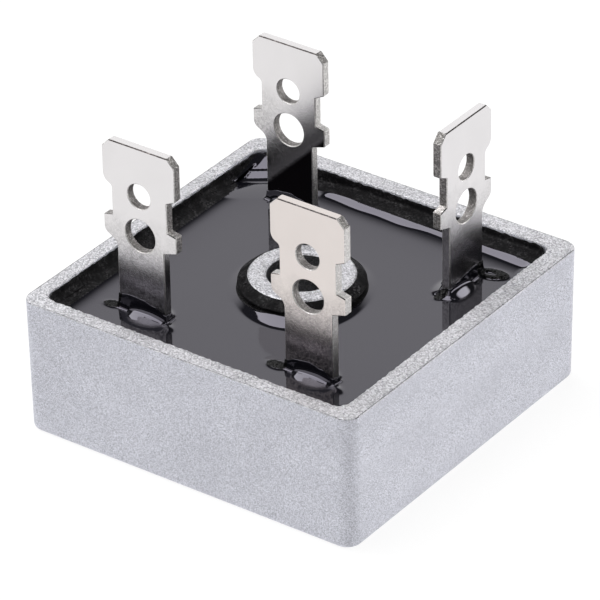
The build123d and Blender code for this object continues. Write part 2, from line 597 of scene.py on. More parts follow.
# Painted shade: a darker copy of the sheared edge, for the cut edges of the negative and positive tabs
SHADED_CUT_EDGE = ShearedNickel("torn_nickel", (0.2, 0.19, 0.185), (0.68, 0.65, 0.64))
CLEAN_EDGE = ShearedNickel("clean_cut", (0.42, 0.41, 0.4), (0.85, 0.83, 0.82), smear_depth=0.3)
CUTS = {TabPlace.AC_FRONT: CUT_EDGE, TabPlace.AC_BACK: CLEAN_EDGE}
HOLE_WALL = ShearedNickel("hole_wall", (0.2, 0.19, 0.185), (0.46, 0.44, 0.43), 0.62, smear_depth=0.0)
# Rougher than the cut edges so it catches the softbox, and lighter in colour as a painted highlight, for the
# bevels along the sides and round the holes
BRIGHT_EDGE = ShearedNickel("bright_edge", (0.62, 0.6, 0.59), (0.95, 0.93, 0.92), 0.5, smear_depth=0.35)
# Painted shade: the chamfered corners near the tab's tip coloured dark
CORNER = ShearedNickel("torn_corner", (0.12, 0.115, 0.11), (0.5, 0.48, 0.47))
# Painted shade: the dark line along the chamfers at the tab's tip
BURR = ShearedNickel("dark_burr", (0.05, 0.045, 0.045), (0.2, 0.18, 0.175))
PAD = SealedFinish("pad_ceramic", (0.88, 0.87, 0.83), 0.0, 0.6)
SILICON = SealedFinish("die_silicon", (0.22, 0.23, 0.26), 0.3, 0.35)
SOLDER = SealedFinish("dull_solder", (0.62, 0.62, 0.63), 1.0, 0.45)


def only(piece: bpy.types.Object) -> None:
    """Make one object the only one selected, and active.

    Args:
        piece: The object.
    """
    bpy.ops.object.select_all(action="DESELECT")
    piece.select_set(True)
    bpy.context.view_layer.objects.active = piece


@contextmanager
def editing(piece: bpy.types.Object) -> Iterator[None]:
    """Put one object into edit mode with all of it selected, and back afterwards.

    Args:
        piece: The object.

    Yields:
        Nothing, while the object is in edit mode.
    """
    only(piece)
    bpy.ops.object.mode_set(mode="EDIT")
    bpy.ops.mesh.select_all(action="SELECT")
    yield
    bpy.ops.object.mode_set(mode="OBJECT")


def wave(x: float, y: float, z: float) -> float:
    """Give smooth noise from -1 to 1 at a point."""
    return noise.noise(Vector((x, y, z)))


def uneven(place: Vector, base: float, waves: Sequence[Triple]) -> float:
    """Give a number that smooth noise moves about over the plan.

    Args:
        place: Place on the plan.
        base: The number without noise.
        waves: Size, rate and layer of each noise.

    Returns:
        The number at that place.
    """
    noises = (size * wave(place.x * rate, place.y * rate, layer) for size, rate, layer in waves)
    return sum(noises, start=base)


def sway(along: np.ndarray | float, waves: Sequence[Triple]) -> np.ndarray | float:
    """Give a factor near 1 that swings along a wall.

    Args:
        along: Places along the wall.
        waves: Size, rate and phase of each swing.

    Returns:
        The factor at those places.
    """
    swings = (size * np.sin(rate * along + phase) for size, rate, phase in waves)
    return sum(swings, start=1)


def square_ring(half: Pair, radius: float, centre: Pair, z: float, side: int, corner: int) -> Ring:
    """Give a level rectangle with round corners, counter-clockwise from above.

    Args:
        half: Half its width and depth.
        radius: Radius of its corners.
        centre: Its middle.
        z: Its height.
        side: Points along each side.
        corner: Points round each corner.

    Returns:
        The ring's points, always in the same order.
    """
    inner = (half[0] - radius, half[1] - radius)
    signs = ((1, -1), (1, 1), (-1, 1), (-1, -1))

    def arc(sign: tuple[int, int], angle: float) -> Vector:
        """Give the point at an angle on one corner's arc."""
        ends = zip(centre, sign, inner, (math.cos(angle), math.sin(angle)))
        return Vector((*(c + s * i + radius * way for c, s, i, way in ends), z))

    points: Ring = []
    for turn, sign in enumerate(signs):
        start = math.radians(-90 + 90 * turn)
        points += [arc(sign, start + QUARTER * step / corner) for step in range(corner)]
        first, last = (arc(s, start + QUARTER) for s in (sign, signs[(turn + 1) % 4]))
        points += [first.lerp(last, step / side) for step in range(side)]
    return points


def round_ring(like: Ring, radius: float, z: float) -> Ring:
    """Give a circle on the z axis whose points lie in the directions of another ring's points."""
    return [Vector((p.x, p.y, 0)).normalized() * radius + Vector((0, 0, z)) for p in like]


def extruded_from(point: bmesh.types.BMVert, first: int) -> int:
    """Give the number of the point that an extrusion drew from another, among those from a number on."""
    others = (edge.other_vert(point) for edge in point.link_edges)
    return next(other.index for other in others if other.select and other.index >= first)


def loft(name: str, rings: Sequence[Ring]) -> bpy.types.Object:
    """Model a skin by extruding a loop of edges from ring to ring.

    Args:
        name: Name of the new object.
        rings: Rings with the same number of points, in millimetres.

    Returns:
        The skin, open at its first and last ring unless they coincide.
    """
    count = len(rings[0])
    bpy.ops.object.select_all(action="DESELECT")
    bpy.ops.mesh.primitive_circle_add(vertices=count, radius=1.0, fill_type="NOTHING")
    skin = bpy.context.object
    skin.name = skin.data.name = name
    order = list(range(count))
    with editing(skin):
        for number, ring in enumerate(rings):
            if number:
                bpy.ops.mesh.extrude_edges_move()
            shape = bmesh.from_edit_mesh(skin.data)
            shape.verts.index_update()
            shape.verts.ensure_lookup_table()
            if number:
                order = [extruded_from(shape.verts[i], number * count) for i in order]
            for index, point in zip(order, ring):
                shape.verts[index].co = point * MM
            bmesh.update_edit_mesh(skin.data)
        bpy.ops.mesh.select_all(action="SELECT")
        bpy.ops.mesh.remove_doubles(threshold=MERGE)
    return skin


def settle(piece: bpy.types.Object, node: str, finishes: Sequence[Finish]) -> None:
    """Dress a finished piece and let it stand for its CAD node.

    Args:
        piece: The new piece.
        node: CAD node that it stands for.
        finishes: Finishes for its material slots, in order.
    """
    for finish in finishes:
        piece.data.materials.append(finish.material())
    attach(piece, "root")
    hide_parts(node)
    LOG.info("%s stands for %s: %d faces", piece.name, node, len(piece.data.polygons))


@dataclass(frozen=True)
class EdgeRing:
    """A ring of an edge: its inset, its depth under the rim, how far it is worn, and its own corner."""

    inset: float
    depth: float
    sideways: float = 0.0
    drop: float = 0.0
    seed: float = 0.0
    corner: float | None = None


@dataclass
class CastCase:
    """The cast cup: drafted walls, a blasted rim with a worn edge, and the hollow post."""

    width: float = 28.6
    height: float = 10.7
    draft: float = 0.1
    corner: float = 1.2
    least_corner: float = 0.3
    base_radius: float = 0.4
    base_steps: int = 6
    outer_levels: tuple[float, ...] = (2.5, 5.3, 8.0)
    outer_plain: float = 0.5
    outer_edge: tuple[EdgeRing, ...] = (
        EdgeRing(0.0, 0.12, 0.006, 0.02, 3.0),
        EdgeRing(0.015, 0.05, 0.01, 0.02, 3.0),
        EdgeRing(0.05, 0.01, 0.016, 0.01, 3.0),
        EdgeRing(0.085, 0.005, 0.016, 0.04, 7.0),
        EdgeRing(0.12, 0.0, 0.016, 0.0, 7.0),
        EdgeRing(0.16, 0.0),
        EdgeRing(0.4, 0.0, 0.0, 0.01, 5.0),
    )
    floor: float = 2.2
    wall: float = 1.4
    shift: Pair = (-0.2, -0.08)
    inner_corner: float = 0.9
    least_inner_corner: float = 0.2
    inner_plain: float = 0.4
    inner_edge: tuple[EdgeRing, ...] = (
        EdgeRing(-0.5, 0.0, 0.0, 0.01, 9.0, 1.3),
        EdgeRing(-0.2, 0.0, 0.05, 0.012, 11.0, 1.05),
        EdgeRing(-0.07, 0.01, 0.09, 0.03, 13.0),
        EdgeRing(-0.03, 0.06, 0.09, 0.05, 13.0),
        EdgeRing(-0.01, 0.12, 0.05, 0.05, 13.0),
    )
    middle: float = 8.0
    post_radius: float = 3.925
    post_plain: float = 0.25
    post_edge: tuple[EdgeRing, ...] = (
        EdgeRing(0.02, 0.08, 0.03, 0.03, 17.0),
        EdgeRing(0.14, 0.0, 0.05, 0.0, 17.0),
    )
    hole_radius: float = 2.55
    hole_edge: tuple[EdgeRing, ...] = (EdgeRing(-0.3, 0.0), EdgeRing(-0.1, 0.01), EdgeRing(0.0, 0.12))
    hole_middle: float = 5.0
    hole_break: float = 0.12
    wear_rates: Pair = (1.3, 3.7)
    wear_shares: Pair = (0.4, 0.8)
    wear_bias: float = 0.5
    side: int = 200
    arc: int = 12
    smooth: float = 35.0
    rim_depth: float = 0.2
    rim_lean: float = 0.5
    # Band of the rim's top that gets painted shade, as insets from the outer wall
    shade_line_inset: Pair = (0.045, 0.115)
    bore_spare: float = 0.05

    def _outer(self, inset: float, z: float) -> Ring:
        """Give a ring of the outside, set in from the drafted wall.

        Args:
            inset: Distance in from the wall.
            z: Height of the ring.

        Returns:
            The ring.
        """
        half = self.width / 2 - self.draft * (1 - z / self.height) - inset
        radius = max(self.corner - inset, self.least_corner)
        return square_ring((half, half), radius, (0, 0), z, self.side, self.arc)

    def inner(self, inset: float, z: float, corner: float | None = None) -> Ring:
        """Give a ring of the hollow, set in from the drafted inner wall.

        Args:
            inset: Distance from the wall into the hollow.
            z: Height of the ring.
            corner: Corner radius, if it isn't the hollow's own less the inset.

        Returns:
            The ring.
        """
        lift = (z - self.floor) / (self.height - self.floor)
        half = self.width / 2 - self.wall - self.draft * (1 - lift) - inset
        radius = max(self.inner_corner - inset if corner is None else corner, self.least_inner_corner)
        return square_ring((half, half), radius, self.shift, z, self.side, self.arc)

    def _worn(self, ring: Ring, edge: EdgeRing) -> Ring:
        """Wear an edge: move its points a little sideways and down by smooth noise.

        Args:
            ring: Ring to wear.
            edge: How far, and where in the noise.

        Returns:
            The worn ring.
        """
        (coarse_rate, fine_rate), (coarse_share, fine_share) = self.wear_rates, self.wear_shares
        worn: Ring = []
        for p in ring:
            out = Vector((p.x, p.y, 0)).normalized()
            coarse = wave(p.x * coarse_rate + edge.seed, p.y * coarse_rate, edge.seed)
            fine = wave(p.x * fine_rate, p.y * fine_rate + edge.seed, edge.seed)
            aside = out * edge.sideways * (coarse_share * coarse + fine_share * fine)
            worn.append(p + aside - Vector((0, 0, edge.drop * max(0.0, self.wear_bias + fine))))
        return worn

    def _slot(self, face: bpy.types.MeshPolygon) -> CaseSlot:
        """Choose a face's finish by its place.

        Args:
            face: The face.

        Returns:
            Its material slot.
        """
        inset = self.width / 2 - max(abs(face.center.x), abs(face.center.y)) / MM
        if face.center.z > (self.height - self.rim_depth) * MM and face.normal.z > self.rim_lean:
            # A narrow band of the rim's top near its outer edge gets painted shade, a dark line
            return CaseSlot.EDGE_LINE if self.shade_line_inset[0] < inset < self.shade_line_inset[1] else CaseSlot.RIM
        # The wall of the post's bore gets painted shade
        if math.hypot(face.center.x, face.center.y) < (self.hole_radius + self.bore_spare) * MM:
            return CaseSlot.BORE
        return CaseSlot.WALL

    def build(self) -> bpy.types.Object:
        """Model the case as one skin, from the hole's lower edge round to itself again.

        Returns:
            The finished case.
        """
        top, r = self.height, self.base_radius
        like = self._outer(0, 0)
        rings = [round_ring(like, self.hole_radius + self.hole_break, 0)]
        for a in (QUARTER * step / self.base_steps for step in range(self.base_steps + 1)):
            rings.append(self._outer(r * (1 - math.sin(a)), r * (1 - math.cos(a))))
        rings += [self._outer(0, z) for z in (*self.outer_levels, top - self.outer_plain)]
        rings += [self._worn(self._outer(e.inset, top - e.depth), e) for e in self.outer_edge]
        rings += [self._worn(self.inner(e.inset, top - e.depth, e.corner), e) for e in self.inner_edge]
        rings += [self.inner(0, z) for z in (top - self.inner_plain, self.middle, self.floor)]
        levels = (self.floor, self.middle, top - self.post_plain)
        rings += [round_ring(like, self.post_radius, z) for z in levels]
        for radius, edge in ((self.post_radius, self.post_edge), (self.hole_radius, self.hole_edge)):
            rings += [self._worn(round_ring(like, radius - e.inset, top - e.depth), e) for e in edge]
        rings += [round_ring(like, self.hole_radius, z) for z in (self.hole_middle, self.hole_break)]
        rings.append(rings[0])
        case = loft("cast_case", rings)
        with editing(case):
            bpy.ops.mesh.normals_make_consistent(inside=False)
        bpy.ops.object.shade_smooth_by_angle(angle=math.radians(self.smooth))
        settle(case, "case", (ALUMINIUM, RIM, EDGE_LINE, BORE))
        for face in case.data.polygons:
            face.material_index = self._slot(face)
        return case


@dataclass(frozen=True)
class Ridge:
    """A small drawn-up fold of resin: a place on the plan, the way it runs, and its size."""

    at: Pair
    turn: float
    length: float
    width: float
    height: float
    curled: bool = False
    lumpy: bool = False
    curl: float = 0.4

    def height_at(self, x: np.ndarray, y: np.ndarray) -> np.ndarray:
        """Give the fold's height over points of the plan.

        Args:
            x: Places along x.
            y: Places along y.

        Returns:
            The heights.
        """
        a = math.radians(self.turn)
        u = (x - self.at[0]) * math.cos(a) + (y - self.at[1]) * math.sin(a)
        v = (y - self.at[1]) * math.cos(a) - (x - self.at[0]) * math.sin(a)
        far = np.hypot(u / self.length, v / self.width)
        return self.height * np.exp(-((far - 1) / self.curl) ** 2 if self.curled else -far ** 2)


@dataclass(frozen=True)
class LegSpot:
    """Where a leg comes out of the resin, and how high the resin wets it along its seen face."""

    place: TabPlace
    centre: Pair
    turn: float
    wet: tuple[float, ...]
    seen: int = -1
    lean: float = 0.0
    gain: float = 1.0
    ridges: tuple[Ridge, ...] = ()
    lump_share: float = 0.14

    def local(self, x: np.ndarray, y: np.ndarray) -> tuple[np.ndarray, np.ndarray]:
        """Turn points of the plan into the leg's own width and thickness.

        Args:
            x: Places along x.
            y: Places along y.

        Returns:
            Places along the leg's width, and across its thickness.
        """
        a = math.radians(self.turn)
        dx, dy = x - self.centre[0], y - self.centre[1]
        return dx * math.cos(a) + dy * math.sin(a), dy * math.cos(a) - dx * math.sin(a)

    def lumpy_at(self, x: float, y: float) -> bool:
        """Say whether a place lies on one of the leg's folds that dried lumpy."""
        u, v = self.local(x, y)
        return any(r.lumpy and r.height_at(u, v) > self.lump_share * r.height for r in self.ridges)


LEGS = (
    LegSpot(TabPlace.NEGATIVE, (-7.1, -9.05), 0, (10.6, 10.76, 10.7, 10.48, 10.06), -1, 0.45, 1.0, (
        Ridge((2.5, -0.7), -35, 0.5, 0.28, 0.14),
        Ridge((-2.55, -0.35), 190, 0.55, 0.3, 0.16, lumpy=True))),
    LegSpot(TabPlace.AC_FRONT, (7.35, -9.05), 0, (10.15, 10.5, 10.62, 10.4, 9.95), -1, 0.35, 1.0, (
        Ridge((2.5, -0.6), -30, 0.5, 0.28, 0.14),
        Ridge((-2.75, -0.4), 180, 0.6, 0.34, 0.2, lumpy=True))),
    LegSpot(TabPlace.AC_BACK, (-7.35, 9.05), 180, (10.1, 10.4, 10.6, 10.5, 10.2), 1),
    LegSpot(TabPlace.POSITIVE, (9.05, 6.9), 90, (10.05, 10.2, 10.4, 10.52, 10.45), -1, -1.15, 0.9, (
        Ridge((-2.45, 0.15), 150, 0.4, 0.25, 0.14, lumpy=True),
        Ridge((2.05, -1.05), -75, 0.9, 0.42, 0.15, curled=True, lumpy=True))),
)


@dataclass(frozen=True)
class Bank:
    """How the resin runs up to one wall: its shelf there, and the long tail that it leaves in the pool."""

    bare: float = 0.9
    scale: float = 1.0
    shelf: float = 0.0
    tilt: float = 0.0
    start: float = 1.0
    length: float = 1.0
    along: float = 0.0
    shelf_waves: tuple[Triple, ...] = ((0.04, 0.5, 1.0), (0.02, 1.7, 0.0))

    def shelf_at(self, along: np.ndarray | float) -> np.ndarray | float:
        """Give the shelf's width at places along the wall."""
        return self.shelf * sway(along, self.shelf_waves)

    def tail_at(self, gap: np.ndarray) -> np.ndarray:
        """Give the height of the tail at distances from the wall."""
        fall = np.exp(-np.maximum(gap - self.start, 0) / self.length)
        return self.tilt * (np.maximum(self.start - gap, 0) + self.length * fall)


LEFT_BANK = Bank(bare=0.35, tilt=0.17, start=1.2, length=1.15, along=3.0)
FAR_BANK = Bank(scale=0.55, shelf=1.45, tilt=0.115, start=2.2, length=1.5)
BANKS = (Bank(), LEFT_BANK, FAR_BANK, Bank(along=5.0))


@dataclass
class ResinPool:
    """The resin: level in the middle, with a long low slope and a steep film on whatever it wets."""

    case: CastCase
    level: float = 9.45
    bite: float = 0.01
    turn_level: float = 9.0
    # Steep film on the walls and the legs, and the strip of rings that carries it
    film: float = 0.04
    film_foot: float = 0.055
    film_least: float = 0.02
    strip: float = 0.5
    strip_steps: tuple[float, ...] = (1.0, 0.86, 0.72, 0.6, 0.5, 0.42, 0.35, 0.29, 0.24, 0.195, 0.155, 0.12)
    bead_angles: tuple[int, ...] = (30, 60, 90)
    # Low slope in front of the film
    ramp_low: float = 0.33
    ramp_gain: float = 0.35
    ramp_reach: float = 1.1
    ramp_fade: float = 0.5
    ramp_steps: int = 200
    # Walls
    wall_scale: float = 0.62
    wall_tilt: float = 0.86
    wall_waves: tuple[Triple, ...] = ((0.18, 0.55, 2.6), (0.1, 1.27, 0.4))
    wall_level: float = 10.3
    wall_corner: float = 0.3
    wall_wet: float = 10.56
    wall_ragged: tuple[Triple, ...] = ((0.06, 0.35, 2.0), (0.1, 2.3, 5.0))
    # Far corner, where the resin stands higher
    corner_at: Pair = (-13.1, 12.82)
    corner_way: Pair = (0.59, -0.807)
    corner_steps: tuple[Pair, ...] = ((0.0, 1.17), (1.75, 0.36), (1.95, 0.34), (2.6, 0.05), (3.0, 0.0))
    corner_fade: float = 2.4
    corner_near: float = 1.3
    corner_clear: float = 2.3
    # Post, with the skirt of resin that hangs round it
    post_scale: Pair = (0.7, 1.15)
    post_tilt: Pair = (0.4, 1.0)
    post_shelf: float = 0.4
    post_front: Pair = (0.5, -0.87)
    post_front_power: int = 3
    post_steps: tuple[float, ...] = (
        0.43, 0.47, 0.52, 0.58, 0.65, 0.72, 0.8, 0.9, 1.0, 1.1, 1.2, 1.32, 1.45, 1.6, 1.75, 1.9)
    skirt_foot: float = 0.42
    lip: tuple[Pair, ...] = (
        (-0.01, 10.62), (0.06, 10.6), (0.17, 10.53), (0.32, 10.42), (0.47, 10.31), (0.6, 10.2), (0.69, 10.12),
        (0.73, 10.08), (0.735, 10.04), (0.7, 9.98), (0.62, 9.91), (0.53, 9.83), (0.46, 9.76))
    lip_level: float = 9.9
    lip_around: float = 12.0
    lip_swell: tuple[Triple, ...] = ((0.06, 0.25, 4.0),)
    lip_ragged: tuple[Triple, ...] = ((0.03, 0.3, 9.0), (0.02, 1.1, 3.0))
    # Legs
    leg_half: Pair = (2.05, 0.35)
    leg_corner: float = 0.02
    leg_side: int = 48
    leg_arc: int = 12
    lens_low: float = 0.1
    lens_gain: float = 0.78
    lens_half: float = 1.65
    behind_drop: float = 0.12
    wet_wave: Pair = (0.02, 2.0)
    pocket: float = 8.6
    pocket_bite: float = 0.03
    # Open resin: even triangles, clear of the strips
    cell: float = 0.17
    row: float = 0.866
    field_spare: float = 0.1
    field_draft: float = 0.047
    field_corner: float = 0.7
    # Where the resin dried to a film, and where the dull film is painted shade on the far walls
    film_low: float = 9.97
    skirt_reach: float = 0.735
    skirt_spare: float = 0.1
    second_ring: float = 0.8
    climb_band: float = 0.2
    climb_lean: float = 0.75
    shelf_from: float = -8.5
    shelf_spare: float = 0.05
    tail_to: Pair = (-11.9, 9.0)
    tail_lean: float = 0.15

    def _ramp(self, distance: np.ndarray, scale: np.ndarray | float) -> np.ndarray:
        """Give the height of the low slope at distances from where the film stands.

        Args:
            distance: Distances.
            scale: Size of the slope, against the slope in front of a leg.

        Returns:
            The heights over the level.
        """
        steps = np.linspace(0.0, self.ramp_reach + self.ramp_fade, self.ramp_steps)
        near = np.clip(1 - steps / self.ramp_reach, 0, 1) ** 2
        far = np.clip((steps - self.ramp_reach) / self.ramp_fade, 0, 1)
        tilt = (self.ramp_low + self.ramp_gain * near) * (1 - far * far * (3 - 2 * far))
        rise = np.cumsum(tilt[::-1])[::-1] * steps[1]
        return scale * np.interp(np.maximum(distance, 0) / scale, steps, rise, right=0.0)

    def _wall_slopes(self, x: np.ndarray, y: np.ndarray) -> np.ndarray:
        """Give the height that the far corner and the four walls add.

        Args:
            x: Places along x.
            y: Places along y.

        Returns:
            The resin's level with those heights.
        """
        half = self.case.width / 2 - self.case.wall
        cx, cy = self.case.shift
        z = np.full_like(x, self.level)
        far = (x - self.corner_at[0]) * self.corner_way[0] + (y - self.corner_at[1]) * self.corner_way[1]
        z += np.interp(far, *zip(*self.corner_steps))
        near = np.clip(self.corner_near - far / self.corner_fade, 0, 1)
        clear = np.clip(self.corner_clear - far / self.corner_fade, 0, 1)
        gaps = (half - (x - cx), half + (x - cx), half - (y - cy), half + (y - cy))
        for bank, gap, place in zip(BANKS, gaps, (y, y, x, x)):
            along = place + bank.along
            scale = (bank.scale + (1 - bank.scale) * clear) * self.wall_scale * sway(along, self.wall_waves)
            ramp = self.wall_tilt * self._ramp(gap - bank.shelf_at(along) * (1 - clear), scale)
            z += ramp * (1 - bank.bare * near) + bank.tail_at(gap) * (1 - clear)
        return z

    def slope(self, x: np.ndarray, y: np.ndarray) -> np.ndarray:
        """Give the height of the resin without its steep films.

        Args:
            x: Places along x.
            y: Places along y.

        Returns:
            The heights.
        """
        z = self._wall_slopes(x, y)
        span = np.hypot(x, y)
        ahead = (x * self.post_front[0] + y * self.post_front[1]) / np.maximum(span, 0.1)
        front = np.clip(ahead, 0, 1) ** self.post_front_power
        scale, tilt = (low + (high - low) * front for low, high in (self.post_scale, self.post_tilt))
        ramp = self._ramp(span - self.case.post_radius - self.skirt_foot, scale)
        z += np.minimum(tilt * ramp, self.post_shelf)
        for spot in LEGS:
            u, v = spot.local(x, y)
            out = np.hypot(*(np.maximum(np.abs(d) - half, 0) for d, half in zip((u, v), self.leg_half)))
            lens = np.sqrt(np.clip(1 - ((u - spot.lean) / self.lens_half) ** 2, 0, 1))
            z += self._ramp(out, spot.gain * (self.lens_low + self.lens_gain * lens))
            for ridge in spot.ridges:
                z += ridge.height_at(u, v)
        return z

    def _slope_under(self, points: Sequence[Vector]) -> np.ndarray:
        """Give the height of the resin, without its steep films, under some points."""
        return self.slope(np.array([p.x for p in points]), np.array([p.y for p in points]))

    def _lifted(self, ring: Ring, distance: float, wet: Sequence[float]) -> Ring:
        """Lift a ring near a wall to the slope and the film over it.

        Args:
            ring: Points at one distance from the wall.
            distance: That distance.
            wet: Height of the wet line at each point.

        Returns:
            The lifted ring.
        """
        share = math.exp(-(distance - self.film) / self.film_foot)
        low = self._slope_under(ring)
        lifts = [max(w - self.film - z, self.film_least) * share for z, w in zip(low, wet)]
        return [Vector((p.x, p.y, z + lift)) for p, z, lift in zip(ring, low, lifts)]

    def _wetted(self, rings: Callable[[float], Ring], wet: Sequence[float], bead: bool) -> list[Ring]:
        """Give the rings of a wetted wall, from its strip's outer edge in to the top of the film.

        Args:
            rings: Gives the ring at a distance from the wall.
            wet: Height of the wet line at each point.
            bead: Whether the film's top is rounded.

        Returns:
            The rings, in order.
        """
        distances = (*(self.strip * step for step in self.strip_steps), self.film)
        made = [self._lifted(rings(distance), distance, wet) for distance in distances]
        edge = made[-1]
        for angle in self.bead_angles if bead else self.bead_angles[-1:]:
            a = math.radians(angle)
            ring = rings(self.film * math.cos(a) if angle < 90 else -self.bite)
            made.append([Vector((p.x, p.y, low.z + self.film * math.sin(a))) for p, low in zip(ring, edge)])
        return made

    def _basin(self) -> tuple[bpy.types.Object, list[Ring]]:
        """Model the resin from its slope up the walls, down to the floor and up the post to its slope again.

        Returns:
            The skin, and its two open rings.
        """
        case, post, bottom = self.case, self.case.post_radius, self.case.floor + self.bite
        like = case.inner(0, 0)

        def wall(distance: float) -> Ring:
            """Give the ring at a distance from the wall."""
            corner = max(case.inner_corner + self.wall_corner - distance, self.wall_corner)
            return case.inner(distance, self.wall_level, corner)

        rings = self._wetted(wall, [uneven(p, self.wall_wet, self.wall_ragged) for p in like], False)
        rings += [case.inner(-self.bite, z) for z in (self.turn_level, bottom)]
        rings += [round_ring(like, post - self.bite, z) for z in (bottom, self.turn_level)]
        around = round_ring(like, self.lip_around, 0.0)
        swell = [uneven(p, 1, self.lip_swell) for p in around]
        ragged = [uneven(p, 0, self.lip_ragged) for p in around]
        for distance, z in self.lip:
            rise = z - self.lip_level
            rings.append([
                Vector((p.x, p.y, 0)).normalized() * (post + distance * s) + Vector((0, 0, z + r * rise))
                for p, s, r in zip(like, swell, ragged)])
        for distance in self.post_steps:
            ring = round_ring(like, post + distance, 0)
            rings.append([Vector((p.x, p.y, z)) for p, z in zip(ring, self._slope_under(ring))])
        return loft("resin_basin", rings), [rings[0], rings[-1]]

    def _wet_line(self, spot: LegSpot, x: float, y: float) -> float:
        """Give the height of the wet line at a place on a leg.

        Args:
            spot: The leg.
            x: Place along the leg's width, from its middle.
            y: Place across its thickness, from its middle.

        Returns:
            The height.
        """
        share = max(0.0, min(1.0, (x / self.leg_half[0] + 1) / 2)) * (len(spot.wet) - 1)
        first = min(int(share), len(spot.wet) - 2)
        t = share - first
        t = t * t * (3 - 2 * t)
        height = spot.wet[first] * (1 - t) + spot.wet[first + 1] * t
        behind = 0.0 if y * spot.seen > 0 else self.behind_drop
        size, rate = self.wet_wave
        return height - behind + size * wave(x * rate + spot.turn, y * rate, 1.0)

    def _leg_ring(self, distance: float, radius: float, z: float = 0.0) -> Ring:
        """Give a ring round a leg that stands in the middle, at a distance from the leg."""
        half = (self.leg_half[0] + distance, self.leg_half[1] + distance)
        return square_ring(half, radius, (0, 0), z, self.leg_side, self.leg_arc)

    def _collar(self, spot: LegSpot) -> tuple[bpy.types.Object, Ring]:
        """Model the resin drawn up one leg, from its slope to a pocket round the leg.

        Args:
            spot: The leg.

        Returns:
            The skin, and its open ring.
        """
        place = Matrix.Translation((*spot.centre, 0)) @ Matrix.Rotation(math.radians(spot.turn), 4, "Z")

        def ring_at(distance: float) -> Ring:
            """Give the ring at a distance from the leg."""
            return [place @ p for p in self._leg_ring(distance, max(distance, self.leg_corner))]

        flat = self._leg_ring(self.leg_corner, self.leg_corner)
        rings = self._wetted(ring_at, [self._wet_line(spot, p.x, p.y) for p in flat], True)
        rings.append([place @ p for p in self._leg_ring(-self.pocket_bite, self.leg_corner, self.pocket)])
        collar = loft(f"resin_collar_{spot.place.value}", rings)
        with editing(collar):
            bpy.ops.mesh.select_all(action="DESELECT")
            shape = bmesh.from_edit_mesh(collar.data)
            for point in shape.verts:
                point.select = abs(point.co.z - self.pocket * MM) < SAME
            shape.select_flush_mode()
            bmesh.update_edit_mesh(collar.data)
            bpy.ops.mesh.edge_face_add()
        return collar, rings[0]

    def _field(self, rings: Sequence[Ring]) -> bpy.types.Object:
        """Model the open resin between the strips as one fine, even mesh of triangles.

        Args:
            rings: Rings round the outside, the post and the legs.

        Returns:
            The mesh, whose edges lie on the rings.
        """
        borders = [p for ring in rings for p in ring]
        flat = [Vector((p.x, p.y)) for p in borders]
        edges: list[tuple[int, int]] = []
        for ring in rings:
            first, count = len(edges), len(ring)
            edges += [(first + i, first + (i + 1) % count) for i in range(count)]
        steps = int(self.case.width / self.cell)
        for j in range(steps + 2):
            for i in range(steps):
                x = (i + 0.5 * (j % 2) - steps / 2) * self.cell
                y = (j - steps / 2) * self.cell * self.row
                if self._open(x, y, self.field_spare):
                    flat.append(Vector((x, y)))
        points, _, triangles, *_ = delaunay_2d_cdt(flat, edges, [], 0, SAME)
        heights = self._slope_under(points)
        for i, border in enumerate(borders):
            if (points[i] - flat[i]).length < SAME:
                heights[i] = border.z
        kept = [t for t in triangles if self._open(*(sum(points[i][k] for i in t) / 3 for k in (0, 1)), 0.0)]
        mesh = bpy.data.meshes.new("resin_field")
        mesh.from_pydata([(p.x * MM, p.y * MM, z * MM) for p, z in zip(points, heights)], [], kept)
        made = bpy.data.objects.new("resin_field", mesh)
        bpy.context.scene.collection.objects.link(made)
        return made

    def _open(self, x: float, y: float, spare: float) -> bool:
        """Say whether a place lies in the open resin, clear of every strip by some distance.

        Args:
            x: Place along x.
            y: Place along y.
            spare: That distance.

        Returns:
            True if it does.
        """
        half = self.case.width / 2 - self.case.wall - self.case.draft * self.field_draft - self.strip - spare
        corner = self.field_corner - spare
        qx, qy = (abs(p - middle) - half + corner for p, middle in zip((x, y), self.case.shift))
        if math.hypot(max(qx, 0), max(qy, 0)) + min(max(qx, qy), 0) > corner:
            return False
        if math.hypot(x, y) < self.case.post_radius + self.post_steps[-1] + spare:
            return False
        for spot in LEGS:
            out = math.hypot(*(max(abs(d) - half, 0) for d, half in zip(spot.local(x, y), self.leg_half)))
            if out < self.strip + spare:
                return False
        return True

    def _slot(self, face: bpy.types.MeshPolygon) -> ResinSlot:
        """Choose a face's finish by its place and the way it looks.

        Args:
            face: The face.

        Returns:
            Its material slot.
        """
        x, y, z = face.center / MM
        if any(spot.lumpy_at(x, y) for spot in LEGS):
            return ResinSlot.LUMPS
        span, post = math.hypot(x, y), self.case.post_radius
        skirt = z > self.film_low and span < post + self.skirt_reach + self.skirt_spare
        second = z > self.level and span < post + self.second_ring
        out = max(abs(x - self.case.shift[0]), abs(y - self.case.shift[1]))
        reach = self.case.width / 2 - self.case.wall - self.climb_band
        climbed = face.normal.z < self.climb_lean and out > reach
        # On the far wall's shelf and the left wall's tail the dull film is painted shade
        shelf = x > self.shelf_from and self.corner_at[1] - y < FAR_BANK.shelf_at(x) - self.shelf_spare
        tail = x < self.tail_to[0] and y < self.tail_to[1] and face.normal.x > self.tail_lean
        film_and_painted_shade = skirt or second or climbed or tail or (shelf and z > self.level)
        return ResinSlot.FILM if film_and_painted_shade else ResinSlot.POOL

